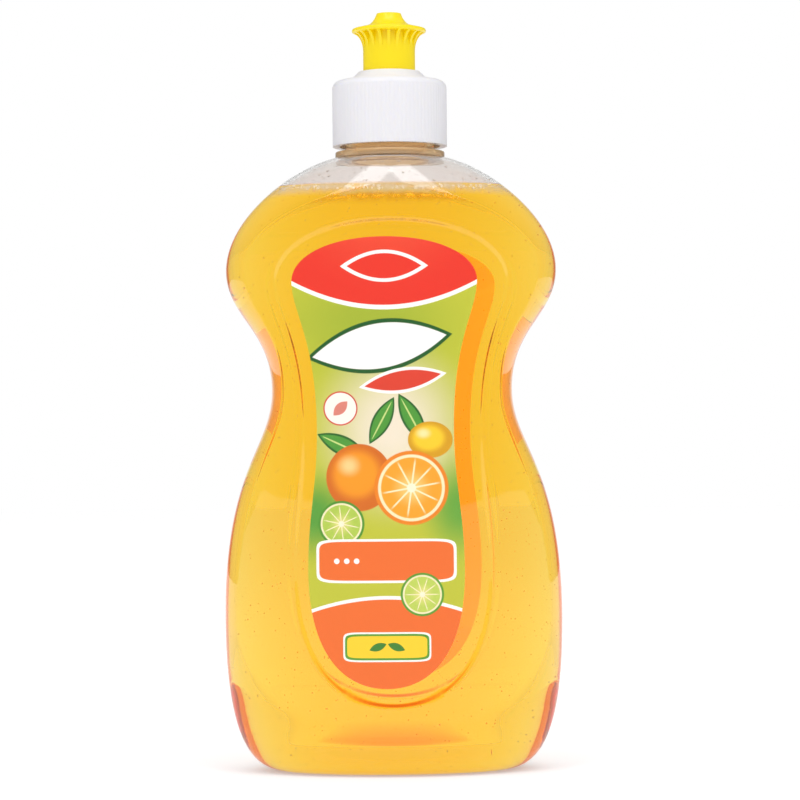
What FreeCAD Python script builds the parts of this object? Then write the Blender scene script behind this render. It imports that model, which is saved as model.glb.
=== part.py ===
import FreeCAD, Part
import math
import os

Vector = FreeCAD.Vector
UP = Vector(0, 0, 1)

# The bottle stands on the plane z = 0 with its neck on the z axis, and its front looks along -y.

# Body heights, one above the other
belly_height = 44.0
belly_to_waist = 65.4
waist_to_shoulder = 34.6
shoulder_to_dome = 32.2

# Body half widths, seen from the front
foot_half_width = 31.0
belly_half_width = 48.6
waist_half_width = 34.6
shoulder_half_width = 47.6
dome_half_width = 16.0

# Half depths of the rounded sides, before the flat panels cut them
foot_half_depth = 14.5
heel_height = 8.0
heel_half_depth = 23.2
belly_half_depth = 31.5
waist_half_depth = 41.2
shoulder_half_depth = 29.0
dome_half_depth = 15.5

# Front and back panels, the wall and the pushed-up base
panel_half_depth = 23.0
panel_radius = 100.0
wall = 0.7
push_up_half_width = 25.0
push_up_half_depth = 10.0
push_up_height = 3.2

# Label recess in each panel
recess_depth = 0.5
recess_bottom = 19.0
recess_belly_height = 58.0
recess_waist_height = 98.0
recess_shoulder_height = 140.0
recess_top = 158.3
recess_belly_half_width = 28.7
recess_waist_half_width = 26.2
recess_shoulder_half_width = 34.0

# Labels, inside the recess
label_thickness = 0.12
label_gap = 0.02
label_end_margin = 6.0
label_belly_margin = 6.6
label_waist_margin = 6.9
label_shoulder_margin = 7.8
front_label_shift = -1.9
back_label_shift = 1.0

# Soap
fill_height = 167.0
fill_gap = 0.05

# Neck: support ring, tube and thread
ring_radius = 15.8
ring_thickness = 1.8
ring_chamfer = 0.4
neck_radius = 13.2
neck_bore_radius = 10.9
neck_length = 18.2
thread_pitch = 4.233
thread_turns = 1.5
thread_depth = 0.85
thread_root_width = 2.2
thread_crest_width = 0.9
thread_start_above_ring = 9.0
thread_sink = 0.3
overshoot = 1.0

# Sealing ring on the neck's rim
seal_thickness = 0.8
seal_edge_margin = 0.2

# Closure
closure_radius = 16.5
closure_rim_above_ring = 1.6
closure_deck = 1.5
closure_corner_radius = 2.2
skirt_thickness = 2.0
skirt_ribs = 84
skirt_rib_depth = 0.09
thread_clearance = 0.35
plug_clearance = 0.1
plug_length = 4.0
turret_height = 2.6
turret_base_radius = 11.6
turret_top_radius = 8.9
well_wall = 1.2
well_floor = 1.2
lip_height = 1.2
tube_wall = 1.2
tube_above_lip = 2.0
spoke_count = 3
spoke_width = 1.2
spoke_height = 3.0

# Pull spout
stem_radius = 7.5
stem_bore_radius = 5.45
running_clearance = 0.08
lip_clearance = 0.2
bead_depth = 0.6
bead_height = 0.9
stem_above_lip = 5.9
spout_travel = 5.0
travel_margin = 0.3
flare_height = 5.4
collar_radius = 10.7
collar_thickness = 2.0
collar_edge_radius = 0.6
nozzle_base_radius = 5.4
nozzle_foot_fillet = 1.6
nozzle_tip_radius = 3.5
nozzle_height = 3.6
orifice_radius = 1.75
orifice_length = 1.6
orifice_taper = 3.4
gusset_count = 20
gusset_width = 0.9
stem_bottom_gap = 1.4
post_tip_gap = 0.4

# Pulls of the curves between those sizes, as shares of their run or rise, from the low end up
foot_width_pulls = (0.63, 0.77)
belly_width_pulls = (0.67, 0.25)
waist_width_pulls = (0.51, 0.38)
dome_width_pulls = (0.47, 0.38, 0.07)
foot_depth_pulls = (0.6, 0.6)
heel_depth_pulls = (0.6, 0.25)
belly_depth_pulls = (0.6, 0.25)
waist_depth_pulls = (0.34, 0.35)
dome_depth_pulls = (0.4, 0.52, 0.19)
recess_arch_pulls = (0.59, 0.67)
recess_belly_pulls = (0.4, 0.4)
recess_waist_pulls = (0.62, 0.21)
recess_top_pulls = (0.55, 0.62, 0)
flare_pulls = (0.4, 0.12)
rings_in_curve = 8

# Worked out from the sizes above
waist_height = belly_height + belly_to_waist
shoulder_height = waist_height + waist_to_shoulder
dome_height = shoulder_height + shoulder_to_dome
ring_top = dome_height + ring_thickness
neck_top = ring_top + neck_length
seal_top = neck_top + seal_thickness
deck_top = seal_top + closure_deck
closure_bottom = ring_top + closure_rim_above_ring
lip_top = deck_top + turret_height
lip_bottom = lip_top - lip_height
lip_bore_radius = stem_radius + lip_clearance
bead_radius = stem_radius + bead_depth
well_radius = bead_radius + lip_clearance
tube_radius = stem_bore_radius - running_clearance
post_radius = orifice_radius - running_clearance
thread_rise = thread_pitch * thread_turns
thread_start = ring_top + thread_start_above_ring
bead_top = lip_bottom - spout_travel - travel_margin
stem_bottom = bead_top - bead_height
well_bottom = stem_bottom - stem_bottom_gap - well_floor
collar_bottom = lip_top + stem_above_lip + flare_height
collar_top = collar_bottom + collar_thickness
spout_top = collar_top + nozzle_height


def span(low, high, pulls):
    """Curve from one (reach, height) to a higher one, upright at both ends"""
    low_pull, high_pull = pulls
    rise = high[1] - low[1]
    curve = Part.BezierCurve()
    curve.setPoles([
        Vector(low[0], 0, low[1]),
        Vector(low[0], 0, low[1] + low_pull * rise),
        Vector(high[0], 0, high[1] - high_pull * rise),
        Vector(high[0], 0, high[1]),
    ])
    return curve


def corner(low, high, pulls):
    """Curve that leaves its low end level and reaches its high end upright"""
    low_pull, high_pull = pulls
    run = high[0] - low[0]
    rise = high[1] - low[1]
    curve = Part.BezierCurve()
    curve.setPoles([
        Vector(low[0], 0, low[1]),
        Vector(low[0] + low_pull * run, 0, low[1]),
        Vector(high[0], 0, high[1] - high_pull * rise),
        Vector(high[0], 0, high[1]),
    ])
    return curve


def dome(low, high, pulls):
    """Curve from an upright low end to a nearly level top"""
    low_pull, inward_pull, down_pull = pulls
    run = low[0] - high[0]
    rise = high[1] - low[1]
    curve = Part.BezierCurve()
    curve.setPoles([
        Vector(low[0], 0, low[1]),
        Vector(low[0], 0, low[1] + low_pull * rise),
        Vector(high[0] + inward_pull * run, 0, high[1] - down_pull * rise),
        Vector(high[0], 0, high[1]),
    ])
    return curve


def width_profile():
    """Half width of the body up its height"""
    foot = (foot_half_width, 0)
    belly = (belly_half_width, belly_height)
    waist = (waist_half_width, waist_height)
    shoulder = (shoulder_half_width, shoulder_height)
    top = (dome_half_width, dome_height)
    return [
        corner(foot, belly, foot_width_pulls),
        span(belly, waist, belly_width_pulls),
        span(waist, shoulder, waist_width_pulls),
        dome(shoulder, top, dome_width_pulls),
    ]


def depth_profile():
    """Half depth of the rounded sides up the body's height"""
    foot = (foot_half_depth, 0)
    heel = (heel_half_depth, heel_height)
    belly = (belly_half_depth, belly_height)
    waist = (waist_half_depth, waist_height)
    shoulder = (shoulder_half_depth, shoulder_height)
    top = (dome_half_depth, dome_height)
    return [
        corner(foot, heel, foot_depth_pulls),
        span(heel, belly, heel_depth_pulls),
        span(belly, waist, belly_depth_pulls),
        span(waist, shoulder, waist_depth_pulls),
        dome(shoulder, top, dome_depth_pulls),
    ]


def reach_at(profile, height):
    """Reach of a profile at a height, by halving the curve that holds it"""
    curve = profile[-1]
    for piece in reversed(profile):
        if piece.value(1).z >= height:
            curve = piece
    low, high = 0.0, 1.0
    for _ in range(40):
        middle = (low + high) / 2
        if curve.value(middle).z < height:
            low = middle
        else:
            high = middle
    return curve.value(high).x


def oval(half_width, half_depth, height):
    """Level oval wire"""
    matrix = FreeCAD.Matrix()
    matrix.scale(half_width, half_depth, 1)
    matrix.move(Vector(0, 0, height))
    ring = Part.makeCircle(1).toNurbs().transformGeometry(matrix)
    return Part.Wire(ring.Edges)


def round_body(inset):
    """Body without its panels, drawn in by an inset"""
    widths = width_profile()
    depths = depth_profile()
    squeeze = (dome_height - 2 * inset) / dome_height
    rings = []
    for curve in widths:
        for step in range(rings_in_curve):
            point = curve.value(step / rings_in_curve)
            depth = reach_at(depths, point.z)
            rings.append(oval(point.x - inset, depth - inset, inset + squeeze * point.z))
    rings.append(oval(dome_half_width - inset, dome_half_depth - inset, dome_height - inset))
    return Part.makeLoft(rings, True)


def panel_cylinder(side, inset):
    """Cylinder whose skin is one panel, drawn in by an inset"""
    centre = Vector(0, -side * (panel_radius - panel_half_depth), -overshoot)
    return Part.makeCylinder(panel_radius - inset, dome_height + 2 * overshoot, centre, UP)


def outline_face(points, shift):
    """Upright face of a panel outline, symmetric but for its shift, from points on its right half"""
    bottom, belly, waist, shoulder, top = points
    right = [
        corner(bottom, belly, recess_arch_pulls).toShape(),
        span(belly, waist, recess_belly_pulls).toShape(),
        span(waist, shoulder, recess_waist_pulls).toShape(),
        dome(shoulder, top, recess_top_pulls).toShape(),
    ]
    left = [edge.mirror(Vector(0, 0, 0), Vector(1, 0, 0)) for edge in right]
    face = Part.Face(Part.Wire(Part.__sortEdges__(right + left)))
    face.translate(Vector(shift, 0, 0))
    return face


def recess_points(margin):
    """Points of the recess outline, grown by a margin"""
    return [
        (0, recess_bottom - margin),
        (recess_belly_half_width + margin, recess_belly_height),
        (recess_waist_half_width + margin, recess_waist_height),
        (recess_shoulder_half_width + margin, recess_shoulder_height),
        (0, recess_top + margin),
    ]


def label_points():
    """Points of a label's outline, inside the recess"""
    return [
        (0, recess_bottom + label_end_margin),
        (recess_belly_half_width - label_belly_margin, recess_belly_height),
        (recess_waist_half_width - label_waist_margin, recess_waist_height),
        (recess_shoulder_half_width - label_shoulder_margin, recess_shoulder_height),
        (0, recess_top - label_end_margin),
    ]


def toward(face, side):
    """Prism from the middle plane out past a panel; side is -1 at the front and 1 at the back"""
    return face.extrude(Vector(0, side * 2 * panel_half_depth, 0))


def body_form(inset):
    """Whole body form with panels, recesses and pushed-up base, drawn in by an inset"""
    form = round_body(inset)
    for side in (-1, 1):
        form = form.common(panel_cylinder(side, inset))
    for side in (-1, 1):
        prism = toward(outline_face(recess_points(inset), 0), side)
        prism = prism.cut(panel_cylinder(side, recess_depth + inset))
        form = form.cut(prism)
    matrix = FreeCAD.Matrix()
    matrix.scale(push_up_half_width + inset, push_up_half_depth + inset, push_up_height + inset)
    push_up = Part.makeSphere(1).transformGeometry(matrix)
    return form.cut(push_up)


def tube(outer_radius, inner_radius, low, high):
    """Upright ring between two heights"""
    outside = Part.makeCylinder(outer_radius, high - low, Vector(0, 0, low), UP)
    inside = Part.makeCylinder(inner_radius, high - low, Vector(0, 0, low), UP)
    return outside.cut(inside)


def rod(radius, low, high):
    """Upright cylinder between two heights"""
    return Part.makeCylinder(radius, high - low, Vector(0, 0, low), UP)


def turned(edges):
    """Solid turned about the z axis from a closed half section"""
    face = Part.Face(Part.Wire(edges))
    return face.revolve(Vector(0, 0, 0), UP, 360)


def turned_copy(shape, index, count):
    """Copy of a shape, turned to one of an even number of places round the z axis"""
    copy = shape.copy()
    copy.rotate(Vector(0, 0, 0), UP, 360 * index / count)
    return copy


def line(start, end):
    """Straight edge of a half section, from (radius, height) to (radius, height)"""
    return Part.makeLine(Vector(start[0], 0, start[1]), Vector(end[0], 0, end[1]))


def curved(*points):
    """Curved edge of a half section, pulled towards its middle points"""
    curve = Part.BezierCurve()
    curve.setPoles([Vector(radius, 0, height) for radius, height in points])
    return curve.toShape()


def thread_ridge(root_radius, crest_radius, start):
    """Right-hand helical ridge, from its root radius to its crest radius"""
    profile = Part.makePolygon([
        Vector(root_radius, 0, -thread_root_width / 2),
        Vector(crest_radius, 0, -thread_crest_width / 2),
        Vector(crest_radius, 0, thread_crest_width / 2),
        Vector(root_radius, 0, thread_root_width / 2),
        Vector(root_radius, 0, -thread_root_width / 2),
    ])
    helix = Part.makeHelix(thread_pitch, thread_rise, neck_radius)
    ridge = Part.Wire(helix.Edges).makePipeShell([profile], True, True)
    ridge.translate(Vector(0, 0, start))
    return ridge


def bottle():
    """Blown shell with its support ring, neck and thread"""
    ring = rod(ring_radius, dome_height, ring_top)
    ring = ring.makeChamfer(ring_chamfer, [edge for edge in ring.Edges if edge.Closed])
    outer = body_form(0).fuse([ring, rod(neck_radius, dome_height - wall, neck_top)])
    inner = body_form(wall).fuse(rod(neck_bore_radius, dome_height - 2 * wall, neck_top))
    ridge = thread_ridge(neck_radius - thread_sink, neck_radius + thread_depth, thread_start)
    return outer.cut(inner).fuse(ridge).removeSplitter()


def liquid():
    """Soap up to the fill line"""
    reach = belly_half_width + shoulder_half_width
    fill = Part.makeBox(2 * reach, 2 * reach, fill_height, Vector(-reach, -reach, 0))
    return body_form(wall + fill_gap).common(fill)


def label(side, shift):
    """Paper label on the recess floor of one panel"""
    sheet = toward(outline_face(label_points(), shift), side)
    back = recess_depth - label_gap
    sheet = sheet.common(panel_cylinder(side, back - label_thickness))
    return sheet.cut(panel_cylinder(side, back))


def seal_ring():
    """Sealing ring on the neck's rim, round the plug"""
    inner_radius = neck_bore_radius + seal_edge_margin
    return tube(neck_radius - seal_edge_margin, inner_radius, neck_top, seal_top)


def ribbed_rod():
    """Upright rod with fine rounded ribs all round"""
    valley_radius = closure_radius - skirt_rib_depth
    step = 2 * math.pi / skirt_ribs
    edges = []
    for index in range(skirt_ribs):
        points = []
        for radius, share in ((valley_radius, 0), (closure_radius, 0.5), (valley_radius, 1)):
            angle = (index + share) * step
            points.append(Vector(radius * math.cos(angle), radius * math.sin(angle), closure_bottom))
        edges.append(Part.Arc(*points).toShape())
    return Part.Face(Part.Wire(edges)).extrude(Vector(0, 0, deck_top - closure_bottom))


def skirt_and_deck():
    """Ribbed skirt and flat deck, rounded at the top corner"""
    blank = rod(closure_radius, closure_bottom, deck_top)
    top_edge = [edge for edge in blank.Edges if edge.Closed and edge.CenterOfMass.z > seal_top]
    blank = ribbed_rod().common(blank.makeFillet(closure_corner_radius, top_edge))
    skirt_bore = rod(closure_radius - skirt_thickness, closure_bottom, seal_top)
    return blank.cut(skirt_bore)


def closure():
    """Screw closure with its turret, plug, spout well, inner tube and centre post"""
    turret_foot = Vector(0, 0, deck_top)
    turret = Part.makeCone(turret_base_radius, turret_top_radius, turret_height, turret_foot, UP)
    plug = rod(neck_bore_radius - plug_clearance, seal_top - plug_length, seal_top)
    well = rod(well_radius + well_wall, well_bottom, deck_top)
    body = skirt_and_deck().fuse([turret, plug, well])
    body = body.cut(rod(well_radius, well_bottom + well_floor, lip_bottom))
    body = body.cut(rod(lip_bore_radius, lip_bottom, lip_top))
    body = body.cut(rod(tube_radius - tube_wall, well_bottom, lip_bottom))
    inner_tube = tube(tube_radius, tube_radius - tube_wall, well_bottom, lip_top + tube_above_lip)
    post = rod(post_radius, well_bottom, spout_top - post_tip_gap)
    spoke_corner = Vector(0, -spoke_width / 2, well_bottom)
    spoke = Part.makeBox(tube_radius - tube_wall / 2, spoke_width, spoke_height, spoke_corner)
    spokes = [turned_copy(spoke, index, spoke_count) for index in range(spoke_count)]
    root_radius = closure_radius - skirt_thickness + thread_sink
    ridge = thread_ridge(root_radius, neck_radius + thread_clearance, thread_start - thread_pitch / 2)
    return body.fuse([inner_tube, post, ridge] + spokes).removeSplitter()


def spout_outside(flared):
    """Outside of the spout; flared with the rib line under the collar, or plain under it"""
    flare_start = (stem_radius, collar_bottom - flare_height)
    under = (collar_radius - collar_edge_radius, collar_bottom)
    tip = (collar_radius, collar_bottom + collar_edge_radius)
    over = (collar_radius - collar_edge_radius, collar_bottom + 2 * collar_edge_radius)
    nozzle_foot = (nozzle_base_radius + nozzle_foot_fillet, collar_top)
    nozzle_tip = (nozzle_tip_radius, spout_top)
    edges = [line((0, stem_bottom), (stem_radius, stem_bottom))]
    if flared:
        edges.append(line((stem_radius, stem_bottom), flare_start))
        middle_radius = (stem_radius + under[0]) / 2
        low_pull = (stem_radius, collar_bottom - flare_pulls[0] * flare_height)
        high_pull = (middle_radius, collar_bottom - flare_pulls[1] * flare_height)
        edges.append(curved(flare_start, low_pull, high_pull, under))
    else:
        edges.append(line((stem_radius, stem_bottom), (stem_radius, collar_bottom)))
        edges.append(line((stem_radius, collar_bottom), under))
    edges.append(Part.Arc(*[Vector(point[0], 0, point[1]) for point in (under, tip, over)]).toShape())
    edges.append(line(over, nozzle_foot))
    foot_pull = (nozzle_base_radius - nozzle_foot_fillet / 2, collar_top + nozzle_foot_fillet / 4)
    edges.append(curved(nozzle_foot, foot_pull, nozzle_tip))
    edges.append(line(nozzle_tip, (0, spout_top)))
    edges.append(line((0, spout_top), (0, stem_bottom)))
    return turned(edges)


def spout():
    """Pull spout with its collar, ribs, stop bead and orifice"""
    gusset_corner = Vector(0, -gusset_width / 2, lip_top)
    gusset = Part.makeBox(collar_radius, gusset_width, collar_top - lip_top, gusset_corner)
    gussets = Part.Compound([turned_copy(gusset, index, gusset_count) for index in range(gusset_count)])
    ribs = spout_outside(True).common(gussets)
    bead = rod(bead_radius, stem_bottom, bead_top)
    taper_start = spout_top - orifice_length - orifice_taper
    bore = rod(stem_bore_radius, stem_bottom, taper_start)
    taper = Part.makeCone(stem_bore_radius, orifice_radius, orifice_taper, Vector(0, 0, taper_start), UP)
    orifice = rod(orifice_radius, stem_bottom, spout_top)
    body = spout_outside(False).fuse([bead] + ribs.Solids)
    return body.cut(bore).cut(taper).cut(orifice).removeSplitter()


def main():
    """Build every piece and write each to its own file"""
    os.makedirs("parts", exist_ok=True)
    parts = {
        "bottle": bottle(),
        "liquid": liquid(),
        "front_label": label(-1, front_label_shift),
        "back_label": label(1, back_label_shift),
        "seal_ring": seal_ring(),
        "closure": closure(),
        "spout": spout(),
    }
    for name, shape in parts.items():
        print(name, shape.isValid(), len(shape.Solids), round(shape.Volume, 1))
        shape.exportStep("parts/" + name + ".step")


main()
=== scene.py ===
"""Looks of a dish soap bottle: blown shell, amber soap, printed labels, ribbed closure and pull spout."""

import logging
import math
import random
from dataclasses import dataclass, replace
from enum import Enum
from typing import Callable

import bmesh
import bpy
from mathutils import Matrix, Vector
from mathutils.kdtree import KDTree


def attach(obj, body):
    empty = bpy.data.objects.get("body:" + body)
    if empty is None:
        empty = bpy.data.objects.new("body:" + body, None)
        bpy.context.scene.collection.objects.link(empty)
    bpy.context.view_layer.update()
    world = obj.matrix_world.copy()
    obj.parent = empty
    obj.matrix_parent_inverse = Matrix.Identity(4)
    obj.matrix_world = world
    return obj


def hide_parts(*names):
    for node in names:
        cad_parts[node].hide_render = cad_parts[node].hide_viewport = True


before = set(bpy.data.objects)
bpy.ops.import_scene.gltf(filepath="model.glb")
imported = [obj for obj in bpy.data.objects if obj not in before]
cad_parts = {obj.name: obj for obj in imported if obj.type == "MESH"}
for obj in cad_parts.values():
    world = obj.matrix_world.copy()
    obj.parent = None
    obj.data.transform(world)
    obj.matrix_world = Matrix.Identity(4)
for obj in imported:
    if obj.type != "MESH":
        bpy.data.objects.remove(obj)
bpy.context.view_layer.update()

LOG = logging.getLogger("dish_soap_bottle")
MM = 0.001

Point = tuple[float, float]
Colour = tuple[float, float, float, float]


def colour(hex_code: str) -> Colour:
    """Turn an sRGB hex colour to a linear one.

    Args:
        hex_code: Six hex digits after a hash.

    Returns:
        Linear red, green and blue, and an alpha of one.
    """
    linear = []
    for place in (1, 3, 5):
        value = int(hex_code[place:place + 2], 16) / 255
        linear.append(value / 12.92 if value <= 0.04045 else ((value + 0.055) / 1.055) ** 2.4)
    return (linear[0], linear[1], linear[2], 1.0)


def add_node(tree: bpy.types.NodeTree, kind: str, inputs: dict | None = None, **settings) -> bpy.types.Node:
    """Add one shader node with its settings and links.

    Args:
        tree: Node tree that gets the node.
        kind: Node type without its ShaderNode prefix.
        inputs: Values or sockets by the input's name or number.
        **settings: Properties of the node itself.

    Returns:
        The new node.
    """
    node = tree.nodes.new("ShaderNode" + kind)
    for name, value in settings.items():
        setattr(node, name, value)
    for key, value in (inputs or {}).items():
        if isinstance(value, bpy.types.NodeSocket):
            tree.links.new(value, node.inputs[key])
        else:
            node.inputs[key].default_value = value
    return node


def new_material(name: str) -> tuple[bpy.types.Material, bpy.types.NodeTree]:
    """Make an empty node material.

    Args:
        name: Name of the material.

    Returns:
        The material and its cleared node tree.
    """
    material = bpy.data.materials.new(name)
    material.use_nodes = True
    material.node_tree.nodes.clear()
    return material, material.node_tree


def relief(tree: bpy.types.NodeTree, size_mm: float, depth_mm: float, detail: float) -> bpy.types.NodeSocket:
    """Add a fine uneven relief.

    Args:
        tree: Node tree that gets the relief.
        size_mm: Size of its swells in mm.
        depth_mm: Its depth in mm.
        detail: How many finer layers it has.

    Returns:
        The socket of the normal.
    """
    place = add_node(tree, "TexCoord")
    swells = add_node(tree, "TexNoise", {
        "Vector": place.outputs["Object"],
        "Scale": 1 / (size_mm * MM),
        "Detail": detail,
    })
    bump = add_node(tree, "Bump", {"Height": swells.outputs["Fac"], "Distance": depth_mm * MM})
    return bump.outputs["Normal"]


def dress(piece: bpy.types.Object, *materials: bpy.types.Material) -> None:
    """Give a piece its materials, one for each zone of its faces."""
    slots = piece.data.materials
    for index, material in enumerate(materials):
        if index < len(slots):
            slots[index] = material
        else:
            slots.append(material)


class Bend(Enum):
    """How one stretch of an outline runs between its ends."""

    CORNER = "level at its low end and upright at its high end"
    SPAN = "upright at both ends"
    DOME = "upright at its low end and nearly level at its high end"


@dataclass(frozen=True)
class Stretch:
    """One curve of an outline: its high end as (reach, height) in mm, its bend and its pulls."""

    end: Point
    bend: Bend
    pulls: tuple[float, ...]

    def poles(self, low: Point) -> tuple[Point, Point, Point, Point]:
        """Work out the curve's control points.

        Args:
            low: Low end of the curve.

        Returns:
            Four control points, from the low end up.
        """
        run = self.end[0] - low[0]
        rise = self.end[1] - low[1]
        if self.bend is Bend.CORNER:
            first = (low[0] + self.pulls[0] * run, low[1])
        else:
            first = (low[0], low[1] + self.pulls[0] * rise)
        if self.bend is Bend.DOME:
            second = (self.end[0] - self.pulls[1] * run, self.end[1] - self.pulls[2] * rise)
        else:
            second = (self.end[0], self.end[1] - self.pulls[1] * rise)
        return low, first, second, self.end


def on_curve(poles: tuple[Point, ...], share: float) -> Point:
    """Point of a cubic curve.

    Args:
        poles: Four control points.
        share: Place along the curve, from 0 to 1.

    Returns:
        The point as (reach, height).
    """
    rest = 1 - share
    weights = (rest ** 3, 3 * rest * rest * share, 3 * rest * share * share, share ** 3)
    reach = sum(weight * pole[0] for weight, pole in zip(weights, poles))
    height = sum(weight * pole[1] for weight, pole in zip(weights, poles))
    return reach, height


@dataclass(frozen=True)
class Outline:
    """Half of an upright outline, from its low end up through its stretches."""

    start: Point
    stretches: tuple[Stretch, ...]

    def curves(self) -> list[tuple[Point, ...]]:
        """Control points of each stretch, from the low end up."""
        lows = (self.start,) + tuple(stretch.end for stretch in self.stretches[:-1])
        return [stretch.poles(low) for stretch, low in zip(self.stretches, lows)]

    def reach(self, height: float) -> float:
        """Find the outline's reach at a height.

        Args:
            height: Height in mm.

        Returns:
            Reach from the middle in mm, or 0 above and below the outline.
        """
        if height < self.start[1] or height > self.stretches[-1].end[1]:
            return 0.0
        poles = next(curve for curve in self.curves() if curve[-1][1] >= height)
        low, high = 0.0, 1.0
        for _ in range(32):
            middle = (low + high) / 2
            if on_curve(poles, middle)[1] < height:
                low = middle
            else:
                high = middle
        return on_curve(poles, high)[0]

    def walk(self, steps: int) -> list[Point]:
        """Points along the whole outline, with so many steps in each stretch."""
        return [on_curve(poles, step / steps) for poles in self.curves() for step in range(steps + 1)]


@dataclass(frozen=True)
class Recess:
    """Label recess of a panel: its outline, its depth and the width of its sloping step, in mm."""

    bottom: float = 19.0
    belly: Point = (28.7, 58.0)
    waist: Point = (26.2, 98.0)
    shoulder: Point = (34.0, 140.0)
    top: float = 158.3
    depth: float = 0.5
    step_width: float = 2.3
    flat_share: float = 0.24

    def outline(self, grow: float) -> Outline:
        """Outline of the recess, grown outward by a margin in mm."""
        return Outline((0.0, self.bottom - grow), (
            Stretch((self.belly[0] + grow, self.belly[1]), Bend.CORNER, (0.59, 0.67)),
            Stretch((self.waist[0] + grow, self.waist[1]), Bend.SPAN, (0.4, 0.4)),
            Stretch((self.shoulder[0] + grow, self.shoulder[1]), Bend.SPAN, (0.62, 0.21)),
            Stretch((0.0, self.top + grow), Bend.DOME, (0.55, 0.62, 0.0)),
        ))


@dataclass(frozen=True)
class Ring:
    """One level ring of a skin: an oval that the panels may cut, with sizes in mm.

    The band of faces that leads to the ring from the one before it takes the material of the ring's zone.
    """

    half_width: float
    half_depth: float
    height: float
    inset: float | None = None
    zone: int = 0


@dataclass
class BodyForm:
    """Outer form of the blown body, and the same form drawn in by an inset, in mm."""

    height: float = 176.2
    panel_half_depth: float = 23.0
    panel_radius: float = 100.0
    crease_blend: float = 0.4
    push_up: tuple[float, float, float] = (25.0, 10.0, 3.2)
    recess: Recess = Recess()
    width: Outline = Outline((31.0, 0.0), (
        Stretch((48.6, 44.0), Bend.CORNER, (0.63, 0.77)),
        Stretch((34.6, 109.4), Bend.SPAN, (0.67, 0.25)),
        Stretch((47.6, 144.0), Bend.SPAN, (0.51, 0.38)),
        Stretch((16.0, 176.2), Bend.DOME, (0.47, 0.38, 0.07)),
    ))
    side_depth: Outline = Outline((14.5, 0.0), (
        Stretch((23.2, 8.0), Bend.CORNER, (0.6, 0.6)),
        Stretch((31.5, 44.0), Bend.SPAN, (0.6, 0.25)),
        Stretch((41.2, 109.4), Bend.SPAN, (0.6, 0.25)),
        Stretch((29.0, 144.0), Bend.SPAN, (0.34, 0.35)),
        Stretch((15.5, 176.2), Bend.DOME, (0.4, 0.52, 0.19)),
    ))

    def __post_init__(self) -> None:
        """Prepare the search trees of the recess outlines."""
        self.trees: dict[float, tuple[Outline, Outline, KDTree]] = {}

    def ring(self, level: float, inset: float) -> Ring:
        """Ring of the body at a level.

        Args:
            level: Height on the outer form in mm.
            inset: How far the form is drawn in, in mm.

        Returns:
            The ring, drawn in on all sides and at both ends.
        """
        squeeze = (self.height - 2 * inset) / self.height
        half_width = self.width.reach(level) - inset
        half_depth = self.side_depth.reach(level) - inset
        return Ring(half_width, half_depth, inset + squeeze * level, inset)

    def panel(self, reach: float, inset: float) -> float:
        """Half depth of the panel at a reach from the middle."""
        radius = self.panel_radius - inset
        return math.sqrt(radius * radius - reach * reach) - self.panel_radius + self.panel_half_depth

    def recess_tree(self, inset: float) -> tuple[Outline, Outline, KDTree]:
        """Outlines of the recess and of its floor, with a search tree, for one inset."""
        if inset not in self.trees:
            edge = self.recess.outline(inset)
            floor = self.recess.outline(inset - self.recess.step_width)
            points = edge.walk(500)
            tree = KDTree(len(points))
            for index, point in enumerate(points):
                tree.insert((point[0], point[1], 0.0), index)
            tree.balance()
            self.trees[inset] = (edge, floor, tree)
        return self.trees[inset]

    def recess_depth(self, reach: float, height: float, inset: float) -> float:
        """Depth of the recess below the panel.

        Args:
            reach: Distance from the middle in mm.
            height: Height in mm.
            inset: Inset of the skin in mm.

        Returns:
            Depth in mm, which rises in an S over the middle of the step.
        """
        edge, _, tree = self.recess_tree(inset)
        if reach >= edge.reach(height):
            return 0.0
        flat = self.recess.flat_share
        share = tree.find((reach, height, 0.0))[2] / self.recess.step_width
        share = min(max((share - flat) / (1 - 2 * flat), 0.0), 1.0)
        return self.recess.depth * share * share * (3 - 2 * share)

    def crease(self, ring: Ring) -> float:
        """Reach at which the panel meets the rounded side, or 0 where no panel cuts the ring."""
        if ring.inset is None or ring.half_depth <= self.panel(0.0, ring.inset):
            return 0.0
        low, high = 0.0, ring.half_width
        for _ in range(32):
            middle = (low + high) / 2
            side = ring.half_depth * math.sqrt(1 - (middle / ring.half_width) ** 2)
            if side > self.panel(middle, ring.inset):
                low = middle
            else:
                high = middle
        return high


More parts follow.
